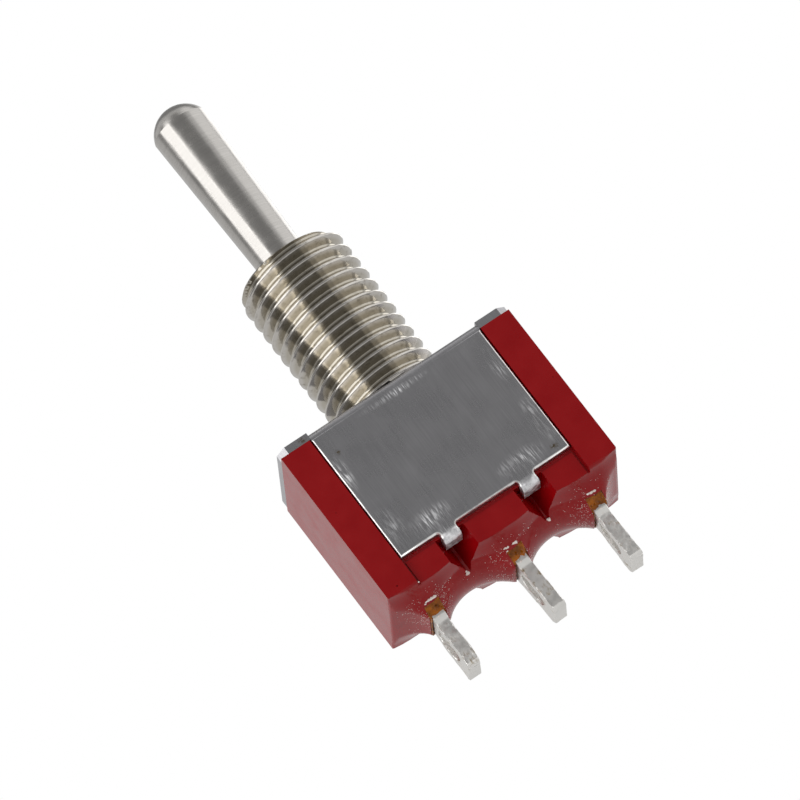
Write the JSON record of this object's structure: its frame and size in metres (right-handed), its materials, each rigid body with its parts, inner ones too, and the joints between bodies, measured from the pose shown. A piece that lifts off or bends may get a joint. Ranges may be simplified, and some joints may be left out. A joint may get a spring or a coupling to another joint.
{
  "type": "toggle switch",
  "caption": "Miniature toggle switch with a threaded bushing, a tilting metal lever, a folded steel frame round a moulded base, and flat solder terminals.",
  "frame": {"origin": "on the bushing's axis, at the outer face of the folded frame, where the panel rests", "axes": "+Z along the bushing, towards the lever's tip; +X along the row of terminals; -Y is the front face. The lever stands in its middle position at rest"},
  "size_m": [0.0132, 0.0064, 0.0329],
  "materials": {
    "housing_plastic": "moulded thermoset, glossy outside, dull underneath",
    "frame_steel": "stainless sheet, brushed along its height",
    "bushing_nickel": "turned brass, bright nickel plate",
    "lever_nickel": "turned brass, nickel plate with fine turning marks",
    "pin_steel": "ground steel",
    "spring_steel": "drawn spring wire",
    "plunger_nylon": "natural nylon",
    "rocker_brass": "stamped brass",
    "contact_silver": "silver alloy",
    "saddle_brass": "stamped brass",
    "terminal_tin": "brass strip, dull tin plate",
    "seal_epoxy": "cast amber epoxy"
  },
  "bodies": {
    "housing": {"base": "housing_plastic", "frame": "frame_steel", "bushing": "bushing_nickel", "saddle": "saddle_brass", "terminal_common": "terminal_tin", "terminal_left": "terminal_tin", "terminal_right": "terminal_tin", "fixed_contact_left": "contact_silver", "fixed_contact_right": "contact_silver", "seal_left": "seal_epoxy", "seal_common": "seal_epoxy", "seal_right": "seal_epoxy"},
    "lever": {"lever": "lever_nickel", "pivot_pin": "pin_steel", "spring": "spring_steel"},
    "plunger": {"plunger": "plunger_nylon"},
    "rocker": {"rocker": "rocker_brass", "rocker_contact_left": "contact_silver", "rocker_contact_right": "contact_silver"}
  },
  "joints": [
    {"name": "lever_tilt", "type": "hinge", "parent": "housing", "child": "lever", "pos_m": [0, 0, 0.0036], "axis": [0, 1, 0], "range_deg": [-11.5, 11.5]},
    {"name": "plunger_slide", "type": "slide", "parent": "lever", "child": "plunger", "axis": [0, 0, 1], "range_m": [0, 0.0005], "stiffness_N_per_m": 1600, "deforming": ["spring"]},
    {"name": "rocker_tilt", "type": "hinge", "parent": "housing", "child": "rocker", "pos_m": [0, 0, -0.0049], "axis": [0, 1, 0], "range_deg": [-6.5, 6.5]}
  ],
  "couplings": [
    {"joint": "rocker_tilt", "follows": "lever_tilt", "ratio": -0.565}
  ]
}
